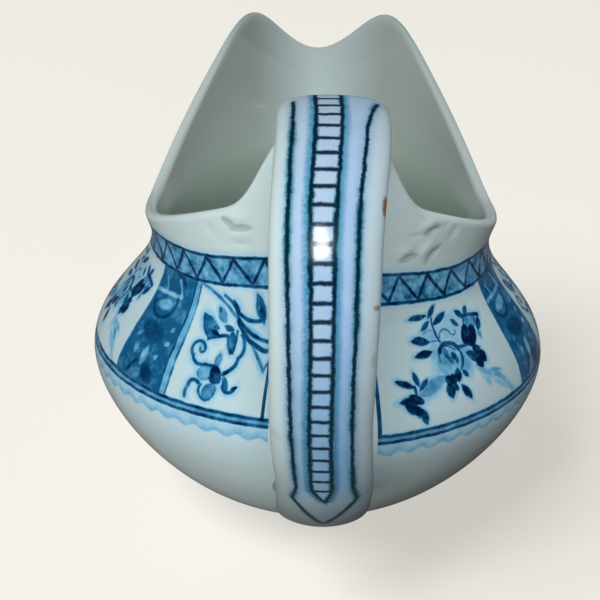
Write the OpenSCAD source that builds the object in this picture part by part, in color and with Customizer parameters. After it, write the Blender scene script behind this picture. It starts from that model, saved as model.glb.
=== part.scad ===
// Porcelain cream jug: a cast bowl with a pulled spout, an applied foot ring, and a
// strap handle luted on below the rim and on the lower belly.
// Millimetres. Z runs up from the table, the spout points along +Y, the handle along -Y.

/* [Bowl] */
// Radius of the bowl at its widest line
belly_r = 43.5; // [34:0.5:60]
// Height of the widest line above the table
belly_z = 32.5; // [24:0.5:50]
// Run of the underside outward from the foot before it turns up
underside_run = 12; // [4:0.5:18]
// Height of the turn from the underside into the widest line
belly_turn = 9; // [4:0.5:14]
// Thickness of the wall
wall = 2.3; // [1.6:0.1:3.6]

/* [Neck and collar] */
// Radius at the neck, the narrowest line
neck_r = 31.8; // [26:0.2:40]
// Height of the neck above the widest line
shoulder_h = 22.5; // [16:0.5:34]
// Height of the turn from the widest line into the shoulder
shoulder_turn = 9; // [4:0.5:12]
// Height of the hollow curve just under the neck
neck_turn = 8.5; // [4:0.5:12]
// Outward flare of the collar at the sides
collar_flare = 1; // [0:0.1:6]
// Height of the collar above the neck at the sides
collar_h = 3.4; // [2:0.2:14]
// Rise of the rim from the sides to the back
back_rise = 12; // [4:0.5:18]
// Further peak of the rim in front of the handle
back_peak = 13; // [6:0.5:18]
// Half width of that peak around the jug, in degrees
back_peak_deg = 21; // [17:0.5:30]

/* [Spout] */
// Distance that the pouring lip stands out past the rim circle
spout_reach = 20; // [10:0.5:28]
// Half width of the pulled spout around the jug, in degrees
spout_deg = 24; // [18:0.5:32]
// Rise of the rim from the sides to the shoulders of the spout
spout_rise = 30; // [16:0.5:40]
// Depth of the dip at the pouring lip
lip_dip = 12.6; // [4:0.2:18]
// Half width of the dip around the jug, in degrees
lip_deg = 13.5; // [9:0.5:20]

/* [Handle] */
// Width of the strap at its crest
strap_top_w = 16.8; // [12:0.2:18]
// Width of the strap at its lower end
strap_low_w = 15; // [10:0.2:18]
// Thickness of the strap
strap_t = 6.4; // [4.6:0.2:8]
// Distance of the upper seat's centre below the rim at the back
upper_seat_drop = 6.2; // [4.6:0.2:9]
// Height of the crest above the upper seat, on the centre line
crest_rise = 10.2; // [6:0.2:15]
// Distance of the crest behind the upper seat, on the centre line
crest_back = 8.8; // [6:0.2:14]
// Distance that the centre line stands out past the bowl at its farthest
handle_reach = 20.1; // [15:0.5:34]
// Height of that farthest place above the widest line of the bowl
handle_far_h = 28; // [18:0.5:38]
// Distance of the lower seat's centre below the widest line of the bowl
lower_seat_drop = 10.3; // [4:0.2:13]

/* [Slip joints] */
// Width of the slip collar on the jug around each end of the strap
lute_w = 2; // [1:0.1:2.8]
// Length of the slip collar along the strap
lute_len = 3.4; // [1.8:0.2:4.6]

/* [Foot] */
// Radius of the foot ring at the top
foot_r = 17.5; // [14:0.5:26]
// Height of the foot ring
foot_h = 3; // [1.6:0.2:6]
// Width of the foot ring at the top
foot_w = 4.2; // [3:0.2:7]
// Width of the unglazed band that stands on the table
foot_band = 1.8; // [1:0.1:2.4]

/* [Hidden] */

// Heights of the neck and of the rim at the sides
neck_z = belly_z + shoulder_h;
side_z = neck_z + collar_h;
rim_r = neck_r + collar_flare;

// Steps around the jug, up each part of its wall, and around the strap
around = 108;
rows_under = 8;
rows_shoulder = 7;
rows_collar = 6;
rows_rim = 4;
strap_steps = 30;
strap_sides = 28;
lute_steps = 4;

// How steeply the pull of the spout and the rim fades down the wall to the widest line
lift_fade = 2.2;
reach_fade = 2.6;

function mix(a, b, t) = a + (b - a) * t;
function ease(t) = let (u = max(0, min(1, t))) u * u * (3 - 2 * u);
function bezier(p, t) = pow(1 - t, 3) * p[0] + 3 * pow(1 - t, 2) * t * p[1]
    + 3 * (1 - t) * t * t * p[2] + pow(t, 3) * p[3];
function swell(a, half, power) = exp(-pow(a / half, power));

// Wall curve of the jug at its side, as [radius, height]: 0 to 1 under the widest line,
// 1 to 2 over the shoulder, 2 to 3 up the collar
function side_curve(v) =
    v < 1 ? bezier([[foot_r, foot_h], [foot_r + underside_run, foot_h + belly_z / 13],
                    [belly_r, belly_z - belly_turn], [belly_r, belly_z]], v)
  : v < 2 ? bezier([[belly_r, belly_z], [belly_r, belly_z + shoulder_turn],
                    [neck_r, neck_z - neck_turn], [neck_r, neck_z]], v - 1)
  : bezier([[neck_r, neck_z], [neck_r, mix(neck_z, side_z, 0.35)],
            [rim_r - 0.3 * collar_flare, mix(neck_z, side_z, 0.75)], [rim_r, side_z]], v - 2);

// Height of the rim over its height at the sides, at an angle from the spout (0 to 180)
function rim_lift(a) = spout_rise * ease((88 - a) / 76) - lip_dip * swell(a, lip_deg, 2)
    + back_rise * ease((a - 92) / 88) + back_peak * swell(180 - a, back_peak_deg, 4);

// Outer skin of the jug, as [radius, height], at a place on the curve and an angle from the spout
function skin(v, a) = let (s = side_curve(v), pull = max(0, (v - 1) / 2))
    [s[0] + spout_reach * swell(a, spout_deg, 2) * pow(pull, reach_fade),
     s[1] + rim_lift(a) * pow(pull, lift_fade)];

// Direction up the wall and direction out of it, both in the upright plane at that angle
function up_wall(v, a) = let (d = skin(min(3, v + 0.01), a) - skin(max(0, v - 0.01), a)) d / norm(d);
function out_wall(v, a) = let (u = up_wall(v, a)) [u[1], -u[0]];
function lining(v, a) = skin(v, a) - wall * out_wall(v, a);

// Rounded edge of the rim, from the outer skin (0) to the lining (180)
function rim_edge(q, a) = skin(3, a) - wall / 2 * out_wall(3, a)
    + wall / 2 * (cos(q) * out_wall(3, a) + sin(q) * up_wall(3, a));

// Place on the wall curve that has a given height
function place_at(z, a, lo = 0, hi = 3, turns = 26) = let (m = (lo + hi) / 2)
    turns == 0 ? m : skin(m, a)[1] < z ? place_at(z, a, m, hi, turns - 1)
                                       : place_at(z, a, lo, m, turns - 1);
function skin_r(z, a) = skin(place_at(z, a), a)[0];

// Point on the outer skin behind the jug, at a distance from its middle plane and a height
function back_angle(x, r) = 180 - asin(min(0.98, abs(x) / r));
function back_point(x, z) =
    let (a = back_angle(x, skin_r(z, back_angle(x, skin_r(z, 180)))), r = skin_r(z, a))
    [x, -sqrt(r * r - x * x), z];

// Middle line of the strap, as [y, z]: 0 to 1 up to the crest, 1 to 2 out to the farthest
// place, 2 to 3 down and in to the lower seat
upper_z = skin(3, 180)[1] - upper_seat_drop;
lower_z = belly_z - lower_seat_drop;
upper_at = [-skin_r(upper_z, 180), upper_z];
lower_at = [-skin_r(lower_z, 180), lower_z];
crest = upper_at + [-crest_back, crest_rise];
far_at = [-belly_r - handle_reach, belly_z + handle_far_h];
strap_parts = [
    [upper_at, upper_at + [-0.30 * crest_back, 0.36 * crest_rise], crest + [0.45 * crest_back, 0], crest],
    [crest, [mix(crest[0], far_at[0], 0.54), crest[1]], [far_at[0], mix(far_at[1], crest[1], 0.62)], far_at],
    [far_at, [far_at[0], mix(far_at[1], lower_z, 0.52)],
     [mix(lower_at[0], far_at[0], 0.38), lower_z - 0.10 * (far_at[1] - lower_z)], lower_at]];
function strap_line(t) = let (k = min(2, floor(t))) bezier(strap_parts[k], t - k);
function strap_run(t) = let (d = strap_line(min(3, t + 0.004)) - strap_line(max(0, t - 0.004))) d / norm(d);
function run_length(k, n = 24) = let (p = [for (i = [0:n]) bezier(strap_parts[k], i / n)],
    d = [for (i = [1:n]) norm(p[i] - p[i - 1])]) d * [for (i = [1:n]) 1];

// Section of the strap: a flattened oval, as [across, through]
function round_power(u) = sign(u) * pow(abs(u), 2 / 2.6);
function section(i) = let (q = -360 * i / strap_sides) [round_power(cos(q)), round_power(sin(q))];
function half_w(t) = mix(strap_top_w, strap_low_w, ease((t - 0.8) / 1.4)) / 2;

// Loop of the strap across its middle line, with a margin for the slip around it
function strap_loop(t, margin) = let (c = strap_line(t), d = strap_run(t), n = [d[1], -d[0]])
    [for (i = [0:strap_sides - 1]) let (s = section(i), p = c + (strap_t / 2 + margin) * s[1] * n)
        [(half_w(t) + margin) * s[0], p[0], p[1]]];

// Loop where the strap sits on the skin of the jug, at a share of its size and with a margin;
// the upper end meets the wall aslant, so its seat is taller than the strap is thick, and it
// stays a little under the edge of the rim
slant = 1.5;
rim_margin = 1.2;
function under_rim(x, margin) = skin(3, back_angle(x, rim_r))[1]
    - rim_margin * (1 - 0.8 * margin / lute_w) - upper_z;
function seat_rise(x, s, margin) = let (h = strap_t / 2 * slant + margin)
    min(h * s, under_rim(x, margin) + 0.35 * h * (s - 1));
function seat_loop(upper, share = 1, margin = 0) =
    [for (i = [0:strap_sides - 1]) let (s = section(i), x = (half_w(upper ? 0 : 3) + margin) * s[0])
        upper ? back_point(share * x, upper_z + share * seat_rise(x, s[1], margin))
              : back_point(share * x, lower_z - share * (strap_t / 2 + margin) * s[1])];

// Loops along the strap: the seats, the ends under the slip collars, and the free run between
end_a = lute_len / run_length(0);
end_b = lute_len / run_length(2);
places = [for (j = [0:lute_steps]) end_a * j / lute_steps,
          for (j = [1:strap_steps - 1]) mix(end_a, 3 - end_b, j / strap_steps),
          for (j = [0:lute_steps]) 3 - end_b * (lute_steps - j) / lute_steps];
function settle(t, len) = t >= len ? 0 : pow(1 - t / len, 2);
function strap_ring(t, margin = 0) =
    let (u = settle(t, 3.2 * end_a), w = settle(3 - t, 3.2 * end_b), p = strap_loop(t, margin))
    u > 0 ? mix(p, seat_loop(true, 1, margin), u)
  : w > 0 ? mix(p, seat_loop(false, 1, margin), w) : p;

// Faces between loops that follow each other, and fans that close an end
function sleeve(loops, n, first = 0) =
    [for (j = [0:loops - 2], i = [0:n - 1]) let (k = (i + 1) % n, a = first + j * n, b = a + n)
        each [[a + i, a + k, b + k], [a + i, b + k, b + i]]];
function fan(centre, start, n, flip) = [for (i = [0:n - 1]) let (k = (i + 1) % n)
    flip ? [centre, start + k, start + i] : [centre, start + i, start + k]];
function joined(loops) = [for (l = loops) each l];

// Loop around the jug from a curve of the wall
function turned(p, a) = [p[0] * sin(a), p[0] * cos(a), p[1]];
function fold(a) = a > 180 ? 360 - a : a;
angles = [for (i = [0:around - 1]) 360 * i / around];
wall_places = [for (i = [0:rows_under - 1]) i / rows_under,
               for (i = [0:rows_shoulder - 1]) 1 + i / rows_shoulder,
               for (i = [0:rows_collar]) 2 + i / rows_collar];
lining_places = [for (i = [len(wall_places) - 1:-1:0]) wall_places[i]];

// Bowl, neck, collar and spout: one casting
module body() {
    outer = [for (v = wall_places) [for (a = angles) turned(skin(v, fold(a)), a)]];
    edge = [for (q = [1:rows_rim - 1]) [for (a = angles) turned(rim_edge(180 * q / rows_rim, fold(a)), a)]];
    inner = [for (v = lining_places) [for (a = angles) turned(lining(v, fold(a)), a)]];
    loops = concat(outer, edge, inner);
    under = [0, 0, foot_h];
    floor_at = [0, 0, lining(0, 90)[1]];
    n = len(loops);
    color([0.86, 0.90, 0.92])
    polyhedron(points = concat(joined(loops), [under, floor_at]),
        faces = concat(sleeve(n, around), fan(n * around, 0, around, true),
                       fan(n * around + 1, (n - 1) * around, around, false)));
}

// Foot ring: turned, its foot edge left unglazed
module foot_ring() {
    mid = foot_r - foot_w / 2;
    color([0.80, 0.78, 0.73])
    rotate_extrude($fn = 96)
    polygon([[foot_r - foot_w, foot_h], [mid - foot_band / 2 - 0.3, 0.5], [mid - foot_band / 2, 0],
             [mid + foot_band / 2, 0], [mid + foot_band / 2 + 0.4, 0.4], [foot_r, foot_h]]);
}

// Strap handle: one pulled strap, bent and cut to sit on the jug at both ends
module handle() {
    seat_shares = [1 / 4, 1 / 2, 3 / 4];
    last = len(places) - 1;
    loops = concat([for (s = seat_shares) seat_loop(true, s)], [seat_loop(true)],
        [for (j = [1:last - 1]) strap_ring(places[j])],
        [seat_loop(false)], [for (s = [3 / 4, 1 / 2, 1 / 4]) seat_loop(false, s)]);
    n = len(loops);
    color([0.72, 0.80, 0.90])
    polyhedron(points = concat(joined(loops), [back_point(0, upper_z), back_point(0, lower_z)]),
        faces = concat(sleeve(n, strap_sides), fan(n * strap_sides, 0, strap_sides, true),
                       fan(n * strap_sides + 1, (n - 1) * strap_sides, strap_sides, false)));
}

// Slip collar around one end of the strap: a hollow curve from the jug's skin up the strap
module lute(upper) {
    function at(j) = places[upper ? j : len(places) - 1 - j];
    strap_side = [for (j = [0:lute_steps]) strap_ring(at(j))];
    hollow = [for (j = [lute_steps - 1:-1:0]) strap_ring(at(j), lute_w * pow(1 - j / lute_steps, 1.7))];
    loops = concat(strap_side, hollow, [strap_side[0]]);
    m = (len(loops) - 1) * strap_sides;
    turns = [for (f = sleeve(len(loops), strap_sides)) [for (i = f) i % m]];
    color([0.84, 0.88, 0.90])
    polyhedron(points = joined([for (j = [0:len(loops) - 2]) loops[j]]),
        faces = upper ? [for (f = turns) [f[2], f[1], f[0]]] : turns);
}

module upper_lute() { lute(true); }
module lower_lute() { lute(false); }

body();
foot_ring();
handle();
upper_lute();
lower_lute();
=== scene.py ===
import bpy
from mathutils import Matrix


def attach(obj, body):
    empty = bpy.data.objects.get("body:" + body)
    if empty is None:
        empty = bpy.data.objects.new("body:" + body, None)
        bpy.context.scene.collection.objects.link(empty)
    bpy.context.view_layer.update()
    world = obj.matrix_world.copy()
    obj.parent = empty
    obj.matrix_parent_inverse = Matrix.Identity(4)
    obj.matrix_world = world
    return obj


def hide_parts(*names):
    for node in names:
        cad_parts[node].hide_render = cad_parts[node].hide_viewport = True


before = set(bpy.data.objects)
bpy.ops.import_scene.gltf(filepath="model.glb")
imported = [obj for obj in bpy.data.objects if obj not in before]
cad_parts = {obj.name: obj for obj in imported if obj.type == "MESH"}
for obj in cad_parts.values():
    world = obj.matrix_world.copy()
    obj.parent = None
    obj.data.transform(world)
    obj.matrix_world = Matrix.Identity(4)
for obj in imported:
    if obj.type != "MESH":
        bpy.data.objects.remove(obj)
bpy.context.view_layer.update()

import math

import bmesh
import bpy
from mathutils import Matrix, Vector

bl_info = {
    "name": "Printed cream jug",
    "version": (1, 0, 0),
    "blender": (4, 5, 0),
    "location": "View3D > Sidebar > Jug",
    "description": "Builds a blue-printed porcelain cream jug on its packed solids",
    "category": "Object",
}

MM = 0.001

# Where the strap's lean starts, is full, begins to go and is gone, in millimetres from its crest
LEAN = (4.0, 30.0, 54.0, 78.0)
# Lowest and highest place of the print's height on the wall, in millimetres from the widest line
LOW, HIGH = -42.0, 72.0
# The same two places on the jug's UV map, which runs from the middle of the base over the rim to the
# middle of the floor inside
LOW_V, RIM_V = 0.06, 0.5
# How steeply the pull of the spout and of the rim fades down the wall
REACH_FADE, LIFT_FADE = 2.6, 2.2
# Millimetres round the collar to a degree
ROUND_BACK = 0.56
# Degrees from one panel of the print to the next, and millimetres of print to a degree
PANEL_DEG, PRINT_MM = 61.4, 0.6632
# Millimetres from a lily panel's edge to the stem that it is folded about
STEM = 17.2
# Teeth of the zigzag on the neck: degrees apart, 35 round the jug, and the share of each that rises
TOOTH_DEG, TOOTH_RISE = 10.286, 0.37
# Millimetres along and across the strap that the curves of the ladder cover, and from rung to rung
LADDER_LONG, LADDER_WIDE, RUNG = 90.0, 14.0, 2.64
# Lengths of slip over which the strap settles on to its seats
SETTLE = 3.2
# Columns round the mesh of the body, of the strap and of the foot
BODY_AROUND, STRAP_AROUND, FOOT_AROUND = 320, 72, 144
# Settings that many nodes share. A Mix node takes colours at 6 and 7 and gives one at 2
SMOOTH = {"interpolation_type": "SMOOTHSTEP"}
COLOUR = {"out": 2, "data_type": "RGBA"}


def linear(colour):
    """Turns an sRGB hex colour into linear red, green, blue and a full alpha."""
    parts = [int(colour[i:i + 2], 16) / 255 for i in (1, 3, 5)]
    return tuple(c / 12.92 if c <= 0.04045 else ((c + 0.055) / 1.055) ** 2.4 for c in parts) + (1.0,)


def length(name, description, millimetres):
    """A size that the user can change."""
    return bpy.props.FloatProperty(name=name, description=description, default=millimetres * MM,
                                   unit="LENGTH", subtype="DISTANCE", precision=5)


def number(name, description, default):
    """A plain number that the user can change, such as an angle in degrees."""
    return bpy.props.FloatProperty(name=name, description=description, default=default, precision=3)


def colour(name, description, default):
    """A colour that the user can change, from its sRGB hex."""
    return bpy.props.FloatVectorProperty(name=name, description=description, default=linear(default),
                                         size=4, min=0.0, max=1.0, subtype="COLOR")


# Lamps: degrees round from behind the handle and up, metres away, metres wide and tall, watts, degrees of
# spread, what each one lights, and whether the glaze mirrors it
LAMPS = (
    # Low at the left and, weaker, at the right, where a bright table would throw light up
    ("left_box", 58, -14, 0.40, 0.16, 0.20, 0.62, 180, "jug", False),
    ("right_box", -98, -12, 0.40, 0.16, 0.20, 0.16, 180, "jug", False),
    # High behind the handle, and two beyond the spout
    ("back_box", 5, 38, 0.40, 0.18, 0.20, 1.05, 180, "jug", False),
    ("far_left_box", 152, 20, 0.40, 0.16, 0.20, 0.9, 180, "jug", False),
    ("far_right_box", -152, 20, 0.40, 0.16, 0.20, 0.9, 180, "jug", False),
    # Narrow, down into the mouth
    ("mouth_box", 0, 90, 0.36, 0.03, 0.03, 0.008, 9, "jug", False),
    # Small, for the glint on the strap
    ("small_box", 1, 31, 0.78, 0.065, 0.19, 1.0, 180, "jug", True),
    # For the floor alone
    ("floor_box", 48, 48, 5.0, 2.5, 2.5, 347.0, 180, "floor", False),
)


# ---------------------------------------------------------------- sizes and colours

class JugBowl(bpy.types.PropertyGroup):
    """Sizes of the bowl, neck, rim and spout."""
    belly_r: length("Belly radius", "Radius of the bowl at its widest line", 43.5)
    belly_z: length("Belly height", "Height of the widest line above the table", 32.5)
    underside_run: length("Underside run", "Run of the underside outward before it turns up", 12)
    belly_turn: length("Belly turn", "Height of the turn from the underside into the widest line", 9)
    wall: length("Wall", "Thickness of the wall", 2.3)
    neck_r: length("Neck radius", "Radius at the narrowest line", 31.8)
    shoulder_h: length("Shoulder height", "Height of the neck above the widest line", 22.5)
    shoulder_turn: length("Shoulder turn", "Height of the turn from the widest line into the shoulder", 9)
    neck_turn: length("Neck turn", "Height of the hollow curve just under the neck", 8.5)
    collar_flare: length("Collar flare", "Outward flare of the collar at the sides", 1)
    collar_h: length("Collar height", "Height of the collar above the neck at the sides", 3.4)
    back_rise: length("Back rise", "Rise of the rim from the sides to the back", 12)
    back_peak: length("Back peak", "Further peak of the rim in front of the handle", 13)
    back_peak_deg: number("Back peak width", "Half width of that peak in degrees", 21)
    spout_reach: length("Spout reach", "Distance of the lip past the rim circle", 20)
    spout_deg: number("Spout width", "Half width of the spout in degrees", 24)
    spout_rise: length("Spout rise", "Rise of the rim from the sides to the spout's shoulders", 30)
    lip_dip: length("Lip dip", "Depth of the dip at the pouring lip", 12.6)
    lip_deg: number("Lip width", "Half width of the dip in degrees", 13.5)


class JugStrap(bpy.types.PropertyGroup):
    """Sizes of the strap handle and of the slip around its ends."""
    top_w: length("Width at the crest", "Width of the strap at its crest", 16.8)
    low_w: length("Width at the foot", "Width of the strap at its lower end", 15)
    thick: length("Thickness", "Thickness of the strap", 6.4)
    seat_drop: length("Upper seat", "Distance of the upper seat below the rim", 6.2)
    crest_rise: length("Crest rise", "Height of the crest above the upper seat", 10.2)
    crest_back: length("Crest back", "Distance of the crest behind the upper seat", 8.8)
    reach: length("Reach", "Distance of the middle line past the bowl at its farthest", 20.1)
    far_h: length("Far height", "Height of the farthest place above the widest line", 28)
    low_drop: length("Lower seat", "Distance of the lower seat below the widest line", 10.3)
    slip_w: length("Slip width", "Width of the slip on the jug around each end", 0.7)
    slip_len: length("Slip length", "Length of the slip along the strap", 3.4)
    lean: length("Lean", "Sideways lean of the strap at its middle, as it was set by hand", 1.2)


class JugFoot(bpy.types.PropertyGroup):
    """Sizes of the foot ring."""
    radius: length("Radius", "Radius of the foot ring at the top", 17.5)
    height: length("Height", "Height of the foot ring", 3)
    width: length("Width", "Width of the foot ring at the top", 4.2)
    band: length("Bare band", "Width of the unglazed band on the table", 1.8)


class JugColours(bpy.types.PropertyGroup):
    """Colours of the glaze, the print, the bare clay and the floor."""
    glaze: colour("Glaze", "Clear glaze over white porcelain, a little blue", "#C6D8D8")
    # Lining: painted shade, a grey that stands in for the shade inside the jug
    lining: colour("Lining", "Glaze inside the jug, greyed by use", "#9BA4A2")
    # Hollow: painted shade for the creases of the moulded scrolls and for the lower end of the strap
    hollow: colour("Hollow", "Glaze in the creases of the moulded scrolls and at the foot of the strap", "#687C78")
    # Thick glaze: painted light, paler and a little green, for light bounced about low inside the jug
    pool: colour("Thick glaze", "Glaze low inside the jug, where it lies thick", "#AABDB0")
    line: colour("Strap line", "Lines painted down the strap", "#00253C")
    fringe: colour("Fringe", "Green edge of the lines down the strap", "#2A7F8C")
    tint: colour("Tint", "Blue that has run into the glaze of the handle", "#9CBEE6")
    pale: colour("Pale wash", "Thinnest blue of the print", "#A3CCDE")
    sky: colour("Sky wash", "Light blue of the print", "#5FA6CC")
    mid: colour("Mid blue", "Middle blue of the print", "#155F8C")
    navy: colour("Navy", "Darkest blue of the print", "#001C40")
    pit: colour("Pit", "Dark specks in the glaze", "#26332F")
    stain: colour("Stain", "Brown stain at chips in the glaze, and dirt on the bare clay", "#8A6A48")
    clay: colour("Bare clay", "Unglazed band of the foot", "#CFC8B8")
    floor: colour("Floor", "Plain pale floor", "#F3F0E8")


# ---------------------------------------------------------------- marks of the print, and relief

# Petals are x, y, turn in degrees, length, width, bend, core and edge of the ink; strokes are three
# points, width and ink. Millimetres from the lower left corner of a panel of the print.
BOUQUET = [
    ("petal", 12.4, 17.4, -1, 3.8, 2.6, 2, 0.36, 0.38), ("petal", 16.5, 16.8, -6, 5.0, 3.4, 2, 0.34, 0.36),
    ("petal", 12.4, 14.6, -102, 3.2, 2.6, 2, 0.40, 0.36), ("petal", 14.2, 12.4, -10, 5.2, 4.2, 2, 0.50, 0.42),
    ("petal", 18.0, 12.6, -111, 5.4, 2.8, 2, 0.46, 0.40), ("petal", 18.2, 18.4, 19, 5.2, 3.4, 2, 0.34, 0.30),
    ("petal", 9.9, 9.3, -157, 7.1, 2.2, 1, 0.56, 0.52), ("petal", 20.7, 7.6, -61, 2.1, 0.8, 1, 0.36, 0.32),
    ("petal", 21.0, 8.9, -44, 3.6, 1.0, 1, 0.42, 0.38), ("petal", 23.2, 8.5, -19, 3.3, 0.7, 1, 0.50, 0.44),
    ("petal", 24.0, 7.0, -48, 3.6, 1.0, 1, 0.52, 0.46), ("petal", 23.7, 5.7, -42, 3.2, 0.8, 1, 0.42, 0.38),
    ("petal", 25.8, 4.9, -54, 3.8, 0.7, 1, 0.40, 0.34),
    ("petal", 10.5, 20.7, 6, 4.4, 1.0, 1, 1.00, 0.88), ("petal", 13.9, 21.4, -138, 3.3, 1.0, 1, 0.88, 0.78),
    ("petal", 15.4, 20.0, -154, 4.3, 1.2, 1, 1.00, 0.88), ("petal", 11.8, 19.2, -148, 2.9, 0.9, 1, 0.92, 0.80),
    ("petal", 9.9, 16.8, -9, 4.0, 1.4, 1, 1.05, 0.95), ("petal", 9.8, 14.6, 8, 3.9, 1.2, 1, 1.05, 0.95),
    ("petal", 18.7, 18.7, -47, 2.3, 1.1, 1, 0.88, 0.78), ("petal", 20.7, 19.8, -39, 2.6, 1.2, 1, 0.95, 0.85),
    ("petal", 22.6, 20.0, -136, 2.2, 1.1, 1, 0.90, 0.80), ("petal", 22.8, 18.0, -14, 4.3, 2.2, 2, 0.60, 0.56),
    ("petal", 24.7, 16.9, -130, 3.0, 1.3, 1, 1.00, 0.90), ("petal", 20.1, 16.1, -120, 4.0, 1.8, 2, 1.10, 1.00),
    ("petal", 21.6, 15.6, -128, 4.4, 2.0, 2, 1.10, 1.00), ("petal", 20.7, 15.5, -125, 3.4, 1.6, 2, 1.05, 1.00),
    ("petal", 23.7, 15.3, -98, 2.1, 1.0, 1, 0.55, 0.50), ("petal", 21.1, 12.9, -94, 2.1, 1.7, 2, 1.05, 0.95),
    ("petal", 21.8, 11.7, -76, 2.6, 1.8, 1, 1.08, 1.00), ("petal", 20.7, 10.9, -82, 2.4, 1.7, 1, 1.08, 1.00),
    ("petal", 19.6, 12.6, -35, 2.8, 1.3, 1, 0.95, 0.85), ("petal", 19.6, 11.8, -37, 2.5, 0.9, 1, 0.85, 0.75),
    ("petal", 14.3, 14.1, -93, 1.9, 1.0, 2, 0.72, 0.80), ("petal", 15.7, 14.3, -53, 1.6, 1.4, 2, 0.45, 0.62),
    ("petal", 15.7, 13.4, -94, 1.4, 0.9, 2, 1.00, 0.90), ("petal", 14.8, 12.8, -59, 1.7, 1.0, 2, 0.72, 0.66),
    ("petal", 16.0, 12.6, -91, 1.4, 0.8, 2, 0.74, 0.66), ("petal", 13.2, 12.5, -34, 1.8, 1.3, 2, 0.48, 0.46),
    ("petal", 13.3, 11.5, -6, 1.6, 1.0, 2, 0.46, 0.42), ("petal", 15.2, 10.1, -102, 2.6, 1.4, 1, 1.10, 1.00),
    ("petal", 14.0, 9.7, -96, 1.9, 1.5, 2, 0.98, 0.90), ("petal", 13.1, 9.7, -76, 1.7, 1.4, 2, 0.95, 0.85),
    ("petal", 12.9, 8.0, -87, 2.9, 1.6, 1, 1.08, 1.00), ("petal", 14.0, 8.3, -71, 1.6, 1.0, 2, 0.92, 0.82),
    ("petal", 15.9, 7.0, -65, 3.2, 1.2, 1, 1.05, 0.95), ("petal", 16.7, 10.0, -63, 1.8, 1.0, 1, 0.88, 0.78),
    ("petal", 5.1, 10.4, -23, 3.5, 1.1, 1, 1.05, 0.95), ("petal", 7.2, 10.9, -76, 2.8, 1.0, 1, 0.96, 0.85),
    ("petal", 8.3, 9.8, -137, 2.8, 0.9, 1, 0.92, 0.82), ("petal", 5.7, 7.6, -2, 4.2, 1.5, 1, 1.10, 1.00),
    ("petal", 6.6, 7.8, -34, 2.8, 1.2, 2, 1.05, 0.98), ("petal", 6.0, 6.3, -33, 4.0, 1.5, 1, 1.10, 1.02),
    ("petal", 6.5, 5.8, -40, 2.6, 1.1, 2, 1.05, 0.95), ("petal", 7.5, 4.9, -72, 3.0, 1.2, 1, 1.02, 0.95),
    ("petal", 6.5, 5.2, -55, 1.2, 0.6, 2, 0.70, 0.60),
    ("stroke", (13.6, 20.3), (13.4, 18.8), (13.9, 16.2), 0.46, 0.85),
    ("stroke", (14.1, 16.9), (15.1, 18.0), (16.6, 17.5), 0.35, 0.72),
    ("stroke", (16.6, 17.5), (16.9, 16.9), (18.1, 17.4), 0.35, 0.72),
    ("stroke", (11.0, 18.0), (12.5, 18.4), (13.8, 17.9), 0.32, 0.55),
    ("stroke", (13.2, 14.6), (15.4, 15.7), (17.1, 14.3), 0.80, 1.00),
    ("stroke", (13.5, 14.9), (12.8, 14.0), (12.6, 12.9), 0.56, 0.72),
    ("stroke", (14.1, 15.3), (15.3, 15.1), (16.3, 14.3), 0.33, 0.90),
    ("stroke", (17.2, 14.6), (18.2, 14.4), (19.3, 14.4), 0.56, 0.85),
    ("stroke", (17.3, 14.3), (17.3, 12.6), (16.3, 10.9), 0.63, 0.80),
    ("stroke", (21.2, 19.2), (23.4, 19.0), (25.7, 18.3), 0.70, 0.95),
    ("stroke", (21.5, 19.1), (21.1, 18.4), (20.6, 17.6), 0.41, 0.80),
    ("stroke", (22.3, 18.7), (22.0, 18.1), (21.4, 17.5), 0.30, 0.70),
    ("stroke", (23.4, 18.5), (23.0, 17.9), (22.4, 17.2), 0.30, 0.72),
    ("stroke", (24.5, 18.3), (24.2, 17.7), (23.4, 16.9), 0.37, 0.85),
    ("stroke", (22.1, 13.2), (21.0, 12.6), (20.7, 11.2), 0.37, 0.90),
    ("stroke", (19.6, 10.6), (22.1, 8.4), (26.3, 3.5), 0.37, 0.46),
    ("stroke", (11.7, 16.5), (12.9, 16.5), (13.9, 16.2), 0.37, 0.62),
    ("stroke", (6.6, 8.1), (6.7, 8.9), (6.6, 9.8), 0.51, 0.85),
]
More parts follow.
